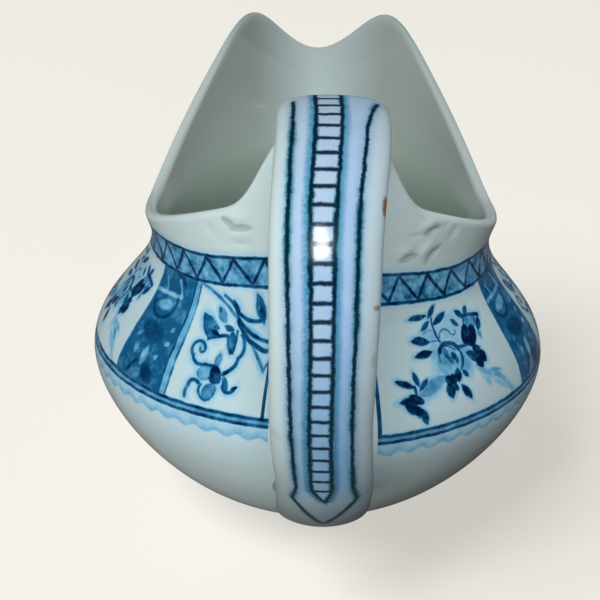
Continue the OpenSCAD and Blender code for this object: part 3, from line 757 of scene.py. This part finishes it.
def printed_porcelain(colours):
    """Glazed porcelain with a blue transfer under the glaze: the eye gets a hard clear gloss on
    cool white, and flat blue panels whose edges have run a little into the glaze."""
    material, tree = new_material("printed_porcelain")
    seen = add(tree, "TexCoord", out="UV")
    grain = add(tree, "TexCoord", out="Object")
    u = add(tree, "SeparateXYZ", [seen])
    v = u.node.outputs[1]
    # Angle from the handle, and height up the wall curve from the widest line in millimetres
    turn = add(tree, "MapRange", [u, 0.0, 1.0, -180.0, 180.0])
    height = add(tree, "MapRange", [v, LOW_V, RIM_V, LOW, HIGH], clamp=False)
    raw = height
    gap = add(tree, "Math", [turn], operation="ABSOLUTE")
    # The transfer was laid round from behind the handle and meets itself there a little askew
    side = add(tree, "Math", [turn], operation="SIGN")
    skew = add(tree, "MapRange", [gap, 0.0, 180.0, 1.35, 0.0])
    stretch = add(tree, "MapRange", [gap, 50.0, 14.0, 1.0, 0.944], **SMOOTH)
    height = add(tree, "Math", [height, stretch], operation="MULTIPLY")
    height = add(tree, "Math", [side, skew, height], operation="MULTIPLY_ADD")
    start = add(tree, "Math", [add(tree, "Math", [turn, -12.0], operation="ADD"), 360.0, 0.0], operation="WRAP")
    panel = add(tree, "Math", [add(tree, "Math", [start, PANEL_DEG], operation="DIVIDE")], operation="FLOOR")
    inside = add(tree, "Math", [panel, -PANEL_DEG, start], operation="MULTIPLY_ADD")
    across = add(tree, "Math", [inside, PRINT_MM], operation="MULTIPLY")
    # Hand-laid lines waver by a tenth of a millimetre over about 2 mm
    waver = add(tree, "TexNoise", {"Vector": grain, "Scale": 420.0, "Detail": 4.0, "Roughness": 0.6}, out="Color")
    waver = add(tree, "VectorMath", [waver, (0.5, 0.5, 0.5)], operation="SUBTRACT")
    waver = add(tree, "VectorMath", [waver, (0.5, 0.5, 0.0)], operation="MULTIPLY")
    point = add(tree, "VectorMath", [add(tree, "CombineXYZ", [across, height]), waver], operation="ADD")
    px = add(tree, "SeparateXYZ", [point])
    py = px.node.outputs[1]
    motif = flowers(tree, point, px, py, panel)
    # Mottled in patches of about 2 mm
    cloud = add(tree, "TexNoise", {"Vector": grain, "Scale": 520.0, "Detail": 3.0, "Roughness": 0.6})
    posts = pilasters(tree, px, py, turn, panel, cloud)
    field = add(tree, "Math", [motif, posts], operation="MAXIMUM")
    # An upright line closes each end of the transfer beside the strap
    first = add(tree, "Math", [start, 0.4, 0.6], operation="COMPARE")
    last = add(tree, "Math", [start, 334.4, 0.4], operation="COMPARE")
    closed = add(tree, "Math", [add(tree, "Math", [first, last], operation="MAXIMUM"), 0.88], operation="MULTIPLY")
    field = add(tree, "Math", [field, closed], operation="MAXIMUM")
    field_on = add(tree, "Math", [add(tree, "MapRange", [py, 2.5, 2.7, 0.0, 1.0]),
                                  add(tree, "MapRange", [py, 23.5, 23.3, 0.0, 1.0])], operation="MULTIPLY")
    ink = add(tree, "Math", [field, field_on], operation="MULTIPLY")
    band = neck_band(tree, px, py, panel, cloud)
    ink = add(tree, "Math", [ink, band], operation="MAXIMUM")
    lines = belly_lines(tree, py, start)
    ink = add(tree, "Math", [ink, lines], operation="MAXIMUM")
    # A trace of blue has gone into the glaze below the neck, and fades out on the lower belly
    trace = add(tree, "Math", [add(tree, "MapRange", [height, 27.0, 20.0, 0.0, 0.08]),
                               add(tree, "MapRange", [height, -10.0, -2.0, 0.1, 1.0])], operation="MULTIPLY")
    ink = add(tree, "Math", [ink, trace], operation="MAXIMUM")
    # The print stops short of the strap, and is on the outside only
    outside = add(tree, "Math", [v, 0.499], operation="LESS_THAN")
    ends = add(tree, "MapRange", [start, 335.9, 336.1, 1.0, 0.0])
    ink = add(tree, "Math", [add(tree, "Math", [ink, outside], operation="MULTIPLY"), ends], operation="MULTIPLY")
    uneven = add(tree, "MapRange", [cloud, 0.25, 0.75, 0.66, 1.20])
    ink = add(tree, "Math", [ink, uneven], operation="MULTIPLY")
    # Thin ink is pale and thick ink navy
    paint = add(tree, "ValToRGB", [ink])
    stops = paint.node.color_ramp.elements
    stops[0].color, stops[1].color = colours.glaze, colours.navy
    for at, tone in ((0.22, colours.pale), (0.45, colours.sky), (0.70, colours.mid)):
        stops.new(at).color = tone
    # The lining is painted grey, as shade inside the jug. It starts on the rim, further out on the spout than at the
    # handle, and is painted paler low down, as light bounced about inside
    brink = add(tree, "MapRange", [gap, 60.0, 120.0, 0.507, 0.500])
    within = add(tree, "MapRange", [v, brink, 0.525, 0.0, 1.0])
    depth = add(tree, "MapRange", [v, 0.56, 0.74, 0.0, 1.0])
    lining = add(tree, "Mix", {0: depth, 6: colours.lining, 7: colours.pool}, **COLOUR)
    # Painted light: the channel to the lip is painted in the plain glaze colour, as if lit
    lit_channel = add(tree, "MapRange", [gap, 156.0, 179.0, 0.0, 0.9], **SMOOTH)
    lining = add(tree, "Mix", {0: lit_channel, 6: lining, 7: colours.glaze}, **COLOUR)
    paint = add(tree, "Mix", {0: within, 6: paint, 7: lining}, **COLOUR)
    # Painted shade darkens the creases of the moulded scrolls
    around = add(tree, "CombineXYZ", [add(tree, "Math", [turn, ROUND_BACK], operation="MULTIPLY"), raw])
    creases = [("petal", x, y, way, 2.2 * long, 1.7 * wide, 2, 0.9, 0.2)
               for x, y, way, long, wide, rise in SCROLLS if rise < -0.25]
    crease = add(tree, "MapRange", [draw(tree, around, creases, petal_group(0.0), None), 0.0, 1.0, 0.0, 0.5])
    paint = add(tree, "Mix", {0: crease, 6: paint, 7: colours.hollow}, **COLOUR)
    # Cast ware is never quite even: slow waves 12 mm long and a hundredth of that deep
    slow = add(tree, "TexNoise", {"Vector": grain, "Scale": 80.0, "Detail": 1.0})
    bump = add(tree, "Bump", {"Strength": 0.25, "Distance": 0.0012, "Height": slow})
    shine = add(tree, "BsdfPrincipled", {"Base Color": paint, "Roughness": 0.12, "IOR": 1.5, "Normal": bump})
    add(tree, "OutputMaterial", {"Surface": shine})
    return material


def ladder_lines(tree, x, s):
    """How far inside the two lines and the two rails of the ladder a place is, and how far from them
    either way, in millimetres."""
    share = add(tree, "Math", [s, LADDER_LONG], operation="DIVIDE")
    off = {}
    for name, stops in LADDER.items():
        curve = add(tree, "FloatCurve", {"Value": share})
        points = curve.node.mapping.curves[0].points
        spots = [(at / LADDER_LONG, across / LADDER_WIDE + 0.5) for at, across in stops]
        points[0].location, points[1].location = spots[0], spots[-1]
        for spot in spots[1:-1]:
            points.new(*spot)
        for point in points:
            point.handle_type = "VECTOR"
        curve.node.mapping.update()
        line = add(tree, "MapRange", [curve, 0.0, 1.0, -LADDER_WIDE / 2, LADDER_WIDE / 2])
        off[name] = add(tree, "Math", [x, line], operation="SUBTRACT")
    turned = {name: add(tree, "Math", [off["right " + name], -1.0], operation="MULTIPLY")
              for name in ("line", "rail")}
    deep = {name: add(tree, "Math", [off["left " + name], turned[name]], operation="MINIMUM")
            for name in ("line", "rail")}
    near = {name: add(tree, "Math", [deep[name]], operation="ABSOLUTE") for name in ("line", "rail")}
    return deep, near


def ladder_porcelain(colours, lean, low, high):
    """Glazed porcelain with a ladder printed down the strap: navy rails and rungs whose blue has
    run into the glaze, so the middle of the strap looks tinted and its rails have a cyan shade."""
    material, tree = new_material("ladder_porcelain")
    grain = add(tree, "TexCoord", out="Object")
    u = add(tree, "SeparateXYZ", [add(tree, "TexCoord", out="UV")])
    v = u.node.outputs[1]
    waver = add(tree, "TexNoise", {"Vector": grain, "Scale": 600.0, "Detail": 3.0, "Roughness": 0.65}, out="Color")
    waver = add(tree, "VectorMath", [waver, (0.5, 0.5, 0.5)], operation="SUBTRACT")
    waver = add(tree, "SeparateXYZ", [add(tree, "VectorMath", [waver, (0.55, 0.55, 0.55)], operation="MULTIPLY")])
    # Millimetres across the strap from its own middle, and along it from its crest
    plain = add(tree, "MapRange", [v, 0.0, 1.0, low, high])
    full = add(tree, "MapRange", [plain, LEAN[0], LEAN[1], 0.0, lean / MM], **SMOOTH)
    part = add(tree, "MapRange", [plain, LEAN[3], LEAN[2], 0.0, 1.0], **SMOOTH)
    x = add(tree, "Math", [add(tree, "SeparateXYZ", [grain]), 1000.0, waver], operation="MULTIPLY_ADD")
    x = add(tree, "Math", [full, part, x], operation="MULTIPLY_ADD")
    # The print is stippled where it was rubbed down, in dots of about a third of a millimetre
    stipple = add(tree, "TexNoise", {"Vector": grain, "Scale": 2600.0, "Detail": 1.0})
    x = add(tree, "Math", [add(tree, "Math", [stipple, -0.5], operation="ADD"), 0.28, x], operation="MULTIPLY_ADD")
    s = add(tree, "Math", [plain, waver.node.outputs[1]], operation="ADD")
    deep, near = ladder_lines(tree, x, s)
    on_lines = add(tree, "Math", [add(tree, "MapRange", [s, 0.6, 1.6, 0.0, 1.0]),
                                  add(tree, "MapRange", [s, 83.9, 83.5, 0.0, 1.0])], operation="MULTIPLY")
    on_rails = add(tree, "Math", [add(tree, "MapRange", [s, -4.0, -3.0, 0.0, 1.0]),
                                  add(tree, "MapRange", [s, 73.9, 73.5, 0.0, 1.0])], operation="MULTIPLY")
    broad = add(tree, "MapRange", [s, 73.0, 76.0, 1.0, 0.66])
    lines = add(tree, "Math", [near["line"], broad], operation="MULTIPLY")
    lines = add(tree, "MapRange", [lines, 0.46, 0.14, 0.0, 1.0], **SMOOTH)
    lines = add(tree, "Math", [lines, on_lines], operation="MULTIPLY")
    rails = add(tree, "MapRange", [near["rail"], 0.48, 0.14, 0.0, 1.0], **SMOOTH)
    rung = add(tree, "Math", [add(tree, "Math", [add(tree, "Math", [s, -0.03], operation="ADD"), RUNG],
                                  operation="DIVIDE")], operation="FRACT")
    rung = add(tree, "Math", [add(tree, "Math", [rung, -0.5], operation="ADD")], operation="ABSOLUTE")
    rung = add(tree, "MapRange", [rung, 0.20, 0.06, 0.0, 0.99], **SMOOTH)
    between = add(tree, "Math", [add(tree, "Math", [deep["rail"], 0.0], operation="GREATER_THAN"),
                                 add(tree, "Math", [s, 71.2], operation="LESS_THAN")], operation="MULTIPLY")
    rung = add(tree, "Math", [rung, between], operation="MULTIPLY")
    ladder = add(tree, "Math", [rails, rung], operation="MAXIMUM")
    ladder = add(tree, "Math", [ladder, on_rails], operation="MULTIPLY")
    ink = add(tree, "Math", [lines, ladder], operation="MAXIMUM")
    # Colour that ran: cyan beside the rails, faint blue beside the lines, a blue tint between them
    beside = add(tree, "MapRange", [deep["rail"], -1.55, -0.55, 0.0, 1.0], **SMOOTH)
    beside = add(tree, "Math", [beside, add(tree, "MapRange", [deep["rail"], 0.5, 0.0, 0.0, 1.0])],
                 operation="MULTIPLY")
    beside = add(tree, "Math", [beside, on_rails], operation="MULTIPLY")
    faint = add(tree, "MapRange", [near["line"], 1.5, 0.2, 0.0, 0.34], **SMOOTH)
    faint = add(tree, "Math", [faint, on_lines], operation="MULTIPLY")
    ran = add(tree, "Math", [beside, faint], operation="MAXIMUM")
    within = add(tree, "MapRange", [deep["line"], -1.9, 0.8, 0.0, 1.0], **SMOOTH)
    deeper = add(tree, "Math", [add(tree, "MapRange", [s, 5.0, 50.0, 0.55, 1.0]),
                                add(tree, "MapRange", [x, -2.0, 3.0, 0.0, 0.18])], operation="ADD")
    within = add(tree, "Math", [within, deeper], operation="MULTIPLY")
    face = add(tree, "Math", [add(tree, "MapRange", [u, 0.5, 0.53, 0.0, 1.0]),
                              add(tree, "MapRange", [s, -4.0, -2.5, 0.0, 1.0])], operation="MULTIPLY")
    cloud = add(tree, "TexNoise", {"Vector": grain, "Scale": 260.0, "Detail": 4.0})
    within = add(tree, "Math", [add(tree, "Math", [within, face], operation="MULTIPLY"),
                                add(tree, "MapRange", [cloud, 0.3, 0.7, 0.65, 1.0])], operation="MULTIPLY")
    within = add(tree, "Math", [within, add(tree, "MapRange", [s, 67.0, 74.0, 1.0, 0.2])], operation="MULTIPLY")
    deeper = add(tree, "MapRange", [s, 38.0, 66.0, 0.0, 0.6])
    deeper = add(tree, "Mix", {0: deeper, 6: colours.tint, 7: colours.sky}, **COLOUR)
    # Painted shade darkens the lower end of the strap, and tints it a little green where the glaze lies thick
    thick = add(tree, "MapRange", [plain, 60.0, 84.0, 0.0, 0.85])
    base = add(tree, "Mix", {0: thick, 6: colours.glaze, 7: colours.hollow}, **COLOUR)
    # The right of the strap is a little bluer than the left
    bluer = add(tree, "MapRange", [x, -LADDER_WIDE / 2, LADDER_WIDE / 2, 0.04, 0.26])
    base = add(tree, "Mix", {0: bluer, 6: base, 7: colours.tint}, **COLOUR)
    base = add(tree, "Mix", {0: within, 6: base, 7: deeper}, **COLOUR)
    ran = add(tree, "Math", [add(tree, "Math", [ran, face], operation="MULTIPLY"),
                             add(tree, "MapRange", [stipple, 0.36, 0.56, 0.78, 1.0])], operation="MULTIPLY")
    shade = add(tree, "MapRange", [s, 25.0, 72.0, 0.25, 0.75])
    shade = add(tree, "Mix", {0: shade, 6: colours.sky, 7: colours.mid}, **COLOUR)
    base = add(tree, "Mix", {0: ran, 6: base, 7: shade}, **COLOUR)
    # A green edge shows along parts of the lines
    fringe = add(tree, "Math", [near["rail"], 0.1], operation="ADD")
    fringe = add(tree, "Math", [near["line"], fringe], operation="MINIMUM")
    fringe = add(tree, "MapRange", [fringe, 0.85, 0.30, 0.0, 0.9], **SMOOTH)
    patch = add(tree, "TexNoise", {"Vector": grain, "Scale": 90.0, "Detail": 2.0})
    patch = add(tree, "MapRange", [patch, 0.40, 0.60, 0.1, 1.0], **SMOOTH)
    fringe = add(tree, "Math", [add(tree, "Math", [fringe, patch], operation="MULTIPLY"),
                                add(tree, "Math", [on_lines, face], operation="MULTIPLY")], operation="MULTIPLY")
    base = add(tree, "Mix", {0: fringe, 6: base, 7: colours.fringe}, **COLOUR)
    worn = add(tree, "MapRange", [stipple, 0.34, 0.46, 0.97, 1.0])
    ink = add(tree, "Math", [add(tree, "Math", [ink, face], operation="MULTIPLY"), worn], operation="MULTIPLY")
    base = add(tree, "Mix", {0: ink, 6: base, 7: colours.line}, **COLOUR)
    # Brown stains where the glaze is chipped along the edge, and a few pits half a millimetre across
    point = add(tree, "CombineXYZ", [x, s])
    stain = draw(tree, point, STAINS, petal_group(0.0), None)
    stain = add(tree, "Math", [stain, add(tree, "Math", [u, 0.5], operation="GREATER_THAN")], operation="MULTIPLY")
    base = add(tree, "Mix", {0: stain, 6: base, 7: colours.stain}, **COLOUR)
    pit = add(tree, "TexVoronoi", {"Vector": grain, "Scale": 300.0})
    rare = add(tree, "Math", [add(tree, "SeparateXYZ", [pit.node.outputs["Color"]]), 0.84], operation="GREATER_THAN")
    pit = add(tree, "Math", [add(tree, "MapRange", [pit, 0.085, 0.05, 0.0, 0.7]), rare], operation="MULTIPLY")
    base = add(tree, "Mix", {0: pit, 6: base, 7: colours.pit}, **COLOUR)
    slow = add(tree, "TexNoise", {"Vector": grain, "Scale": 120.0, "Detail": 1.0})
    bump = add(tree, "Bump", {"Strength": 0.2, "Distance": 0.001, "Height": slow})
    shine = add(tree, "BsdfPrincipled", {"Base Color": base, "Roughness": 0.12, "IOR": 1.5, "Normal": bump})
    add(tree, "OutputMaterial", {"Surface": shine})
    return material


def foot_porcelain(colours):
    """Glazed porcelain with its standing band wiped bare: gloss on the sides, chalky clay with a
    little dirt and grit of about half a millimetre where it stands."""
    material, tree = new_material("wiped_porcelain")
    grain = add(tree, "TexCoord", out="Object")
    z = add(tree, "SeparateXYZ", [grain]).node.outputs[2]
    grit = add(tree, "TexNoise", {"Vector": grain, "Scale": 1500.0, "Detail": 4.0})
    edge = add(tree, "Math", [grit, 0.0005, z], operation="MULTIPLY_ADD")
    bare = add(tree, "MapRange", [edge, 0.0009, 0.0006, 0.0, 1.0])
    dirt = add(tree, "MapRange", [grit, 0.45, 0.7, 0.0, 0.5])
    clay = add(tree, "Mix", {0: dirt, 6: colours.clay, 7: colours.stain}, **COLOUR)
    base = add(tree, "Mix", {0: bare, 6: colours.glaze, 7: clay}, **COLOUR)
    rough = add(tree, "MapRange", [bare, 0.0, 1.0, 0.14, 0.8])
    bump = add(tree, "Bump", {"Strength": add(tree, "MapRange", [bare, 0.0, 1.0, 0.02, 0.4]), "Distance": 0.0002,
                              "Height": grit})
    shine = add(tree, "BsdfPrincipled", {"Base Color": base, "Roughness": rough, "IOR": 1.5, "Normal": bump})
    add(tree, "OutputMaterial", {"Surface": shine})
    return material


# ---------------------------------------------------------------- operators

class JUG_OT_body(bpy.types.Operator):
    """Bowl, neck, collar and spout in one casting"""
    bl_idname = "jug.body"
    bl_label = "Jug body"

    def execute(self, context):
        scene = context.scene
        wall = Wall(scene.jug_bowl, scene.jug_foot)
        # Rows of the mesh: out over the base, up the skin, over the rim, down the lining, in over the floor.
        # They are closest on the collar, for the moulded scrolls
        lower = [i / 26 for i in range(26)] + [1 + i / 30 for i in range(30)]
        places = lower + [2 + i / 60 for i in range(61)]
        inner = lower + [2 + i / 22 for i in range(23)]
        rows = [("under", i / 4) for i in range(4)] + [("skin", v) for v in places]
        rows += [("rim", 180 * i / 10) for i in range(1, 10)] + [("lining", v) for v in reversed(inner)]
        rows += [("floor", i / 4) for i in reversed(range(4))]
        known = {}

        def up_wall(value, turn):
            a = round(180 - abs(turn), 3)
            if a not in known:
                known[a] = dict(zip(places, wall.lengths(places, a)))
            return known[a][value]

        def along(row, turn):
            kind, value = rows[row]
            if kind == "skin":
                return mix(LOW_V, RIM_V, (up_wall(value, turn) - LOW) / (HIGH - LOW))
            return {"under": LOW_V * value, "rim": RIM_V + value / 9000, "lining": 0.94 - 0.14 * value,
                    "floor": 1.0 - 0.06 * value}[kind]

        def place(row, turn):
            kind, value = rows[row]
            a = 180 - abs(turn)
            if kind == "under":
                p = Vector((wall.side(0).x * value, wall.foot_z))
            elif kind == "floor":
                p = wall.lining(0, 90)
                p = Vector((p.x * value, p.y))
            else:
                p = getattr(wall, kind)(value, a)
                if kind == "skin":
                    p = p + moulded(ROUND_BACK * turn, up_wall(value, turn)) * MM * wall.out(value, a)
            return Vector((p.x * math.sin(math.radians(turn)), -p.x * math.cos(math.radians(turn)), p.y))

        bm = tube(len(rows), BODY_AROUND)
        shape(bm, place, along, crowd=0.5)
        piece("jug_body", bm, printed_porcelain(scene.jug_colours), "glazed_body", "body")
        return {"FINISHED"}


class JUG_OT_handle(bpy.types.Operator):
    """Strap handle with the slip around both its ends"""
    bl_idname = "jug.handle"
    bl_label = "Strap handle"

    def execute(self, context):
        scene = context.scene
        strap = Strap(scene.jug_strap, Wall(scene.jug_bowl, scene.jug_foot))
        # Rows of the mesh: the upper seat, the strap with its rows closest at both ends, the lower seat
        first, last = SETTLE * strap.end_a, 3 - SETTLE * strap.end_b
        places = ([first * (i / 16) ** 1.5 for i in range(16)] + [mix(first, last, i / 120) for i in range(120)]
                  + [3 - (3 - last) * ((16 - i) / 16) ** 1.5 for i in range(17)])
        rows = [("upper", i / 3) for i in range(4)] + [("ring", t) for t in places]
        rows += [("lower", i / 3) for i in reversed(range(4))]
        low, high = strap.along(0), strap.along(3)

        def along(row, turn):
            kind, value = rows[row]
            if kind == "ring":
                return (strap.along(value) - low) / (high - low)
            return 0.0 if kind == "upper" else 1.0

        def place(row, turn):
            kind, value = rows[row]
            q = math.radians(turn)
            if kind == "ring":
                return strap.ring(value, q)
            return strap.seat(kind == "upper", q, value, strap.size.slip_w, 0.8 * MM)

        bm = tube(len(rows), STRAP_AROUND)
        shape(bm, place, along)
        piece("strap_handle", bm, ladder_porcelain(scene.jug_colours, strap.size.lean, low, high), "glazed_handle",
              "handle", "upper_lute", "lower_lute")
        return {"FINISHED"}


class JUG_OT_foot(bpy.types.Operator):
    """Turned foot ring"""
    bl_idname = "jug.foot"
    bl_label = "Foot ring"

    def execute(self, context):
        foot = context.scene.jug_foot
        mid, half = foot.radius - foot.width / 2, foot.band / 2
        profile = [(foot.radius - foot.width, foot.height), (mid - half - 0.3 * MM, 0.5 * MM), (mid - half, 0),
                   (mid + half, 0), (mid + half + 0.4 * MM, 0.4 * MM), (foot.radius, foot.height)]
        bm = bmesh.new()
        line = [bm.verts.new((0, r, z)) for r, z in profile]
        edges = [bm.edges.new(pair) for pair in zip(line, line[1:] + line[:1])]
        bmesh.ops.spin(bm, geom=line + edges, cent=(0, 0, 0), axis=(0, 0, 1), angle=math.tau,
                       steps=FOOT_AROUND, use_merge=True)
        bmesh.ops.remove_doubles(bm, verts=bm.verts, dist=1e-6)
        low = [e for e in bm.edges if abs(e.verts[0].co.z - e.verts[1].co.z) < 1e-6
               and e.verts[0].co.z < foot.height / 2
               and abs(e.verts[0].co.xy.length - e.verts[1].co.xy.length) < 1e-6]
        bmesh.ops.bevel(bm, geom=low, offset=0.14 * MM, offset_type="OFFSET", segments=2, profile=0.5,
                        affect="EDGES", material=-1)
        piece("foot", bm, foot_porcelain(context.scene.jug_colours), "bare_foot", "foot_ring")
        return {"FINISHED"}


class JUG_OT_stage(bpy.types.Operator):
    """Camera, floor and soft studio light"""
    bl_idname = "jug.stage"
    bl_label = "Stage"

    def execute(self, context):
        scene = context.scene
        # Camera behind and above the handle, swung and rolled a little
        aim = Vector((-3.56, 0, 39.5)) * MM
        lift, swing, roll = (math.radians(d) for d in (24.3, -0.9, 1.2))
        back = Vector((math.sin(swing) * math.cos(lift), -math.cos(swing) * math.cos(lift), math.sin(lift)))
        level = Vector((0, 0, 1)).cross(back).normalized()
        plumb = back.cross(level)
        right = level * math.cos(roll) + plumb * math.sin(roll)
        up = plumb * math.cos(roll) - level * math.sin(roll)
        lens = bpy.data.cameras.new("camera")
        lens.lens, lens.sensor_width, lens.clip_start = 69.0, 36.0, 0.01
        camera = bpy.data.objects.new("camera", lens)
        turned = Matrix((right, up, back)).transposed().to_4x4()
        camera.matrix_world = Matrix.Translation(aim + back * 225 * MM) @ turned
        scene.collection.objects.link(camera)
        scene.camera = camera

        # Floor: matt pale board that keeps a soft shadow. The camera sees it mostly as its own even
        # colour, and it throws little light back up under the bowl
        material, tree = new_material("matt_board")
        board = add(tree, "BsdfDiffuse", [scene.jug_colours.floor])
        even = add(tree, "Emission", [scene.jug_colours.floor, 1.0])
        dull = add(tree, "BsdfDiffuse", [linear("#3A3936")])
        ray = add(tree, "LightPath", out="Is Camera Ray")
        shown = add(tree, "Math", [ray.node.outputs["Is Glossy Ray"], 0.1, ray], operation="MULTIPLY_ADD")
        bright = add(tree, "MixShader", [0.65, board, even])
        add(tree, "OutputMaterial", {"Surface": add(tree, "MixShader", [shown, dull, bright])})
        bm = bmesh.new()
        bmesh.ops.create_grid(bm, x_segments=8, y_segments=8, size=2.5)
        mesh = bpy.data.meshes.new("floor")
        bm.to_mesh(mesh)
        bm.free()
        mesh.materials.append(material)
        floor = bpy.data.objects.new("floor", mesh)
        jug = [thing for thing in scene.objects if thing.type == "MESH"]
        scene.collection.objects.link(floor)

        lights = {"jug": jug, "floor": [floor]}
        for name, around, high, far, wide, tall, power, spread, lit, glint in LAMPS:
            turn, tilt = math.radians(around), math.radians(high)
            lamp = bpy.data.lights.new(name, "AREA")
            lamp.shape, lamp.size, lamp.size_y, lamp.energy = "RECTANGLE", wide, tall, power
            lamp.spread = math.radians(spread)
            holder = bpy.data.objects.new(name, lamp)
            toward = Vector((-math.sin(turn) * math.cos(tilt), -math.cos(turn) * math.cos(tilt), math.sin(tilt)))
            holder.location = Vector((0, 0, 45)) * MM + toward * far
            holder.rotation_euler = toward.to_track_quat("Z", "Y").to_euler()
            holder.visible_glossy = glint
            scene.collection.objects.link(holder)
            only = bpy.data.collections.new(name + " lights")
            for thing in lights[lit]:
                only.objects.link(thing)
            holder.light_linking.receiver_collection = only
            if lit == "jug":
                holder.light_linking.blocker_collection = only

        # A dim even room, which the camera sees in the floor's colour
        world = bpy.data.worlds.new("room")
        world.use_nodes = True
        nodes = world.node_tree
        nodes.nodes.clear()
        path = add(nodes, "LightPath", out="Is Glossy Ray")
        dim = add(nodes, "MapRange", [path, 0.0, 1.0, 0.02, 0.03])
        room = add(nodes, "Background", [linear("#EEF2F4"), dim])
        backdrop = add(nodes, "Background", [scene.jug_colours.floor, 1.0])
        room = add(nodes, "MixShader", [path.node.outputs["Is Camera Ray"], room, backdrop])
        add(nodes, "OutputWorld", {"Surface": room})
        scene.world = world
        scene.view_settings.view_transform = "Standard"
        return {"FINISHED"}


class JUG_PT_panel(bpy.types.Panel):
    """Jug"""
    bl_idname = "JUG_PT_panel"
    bl_label = "Cream jug"
    bl_space_type = "VIEW_3D"
    bl_region_type = "UI"
    bl_category = "Jug"

    def draw(self, context):
        for operator in OPERATORS:
            self.layout.operator(operator.bl_idname)
        for holder in GROUPS:
            for key in GROUPS[holder].__annotations__:
                self.layout.prop(getattr(context.scene, holder), key)


GROUPS = {"jug_bowl": JugBowl, "jug_strap": JugStrap, "jug_foot": JugFoot, "jug_colours": JugColours}
OPERATORS = (JUG_OT_body, JUG_OT_handle, JUG_OT_foot, JUG_OT_stage)


def register():
    for kind in (*GROUPS.values(), *OPERATORS, JUG_PT_panel):
        bpy.utils.register_class(kind)
    for holder, kind in GROUPS.items():
        setattr(bpy.types.Scene, holder, bpy.props.PointerProperty(type=kind))


def unregister():
    for holder in GROUPS:
        delattr(bpy.types.Scene, holder)
    for kind in (JUG_PT_panel, *reversed(OPERATORS), *reversed(GROUPS.values())):
        bpy.utils.unregister_class(kind)


def main():
    register()
    bpy.ops.jug.body()
    bpy.ops.jug.handle()
    bpy.ops.jug.foot()
    bpy.ops.jug.stage()


if __name__ == "__main__":
    main()
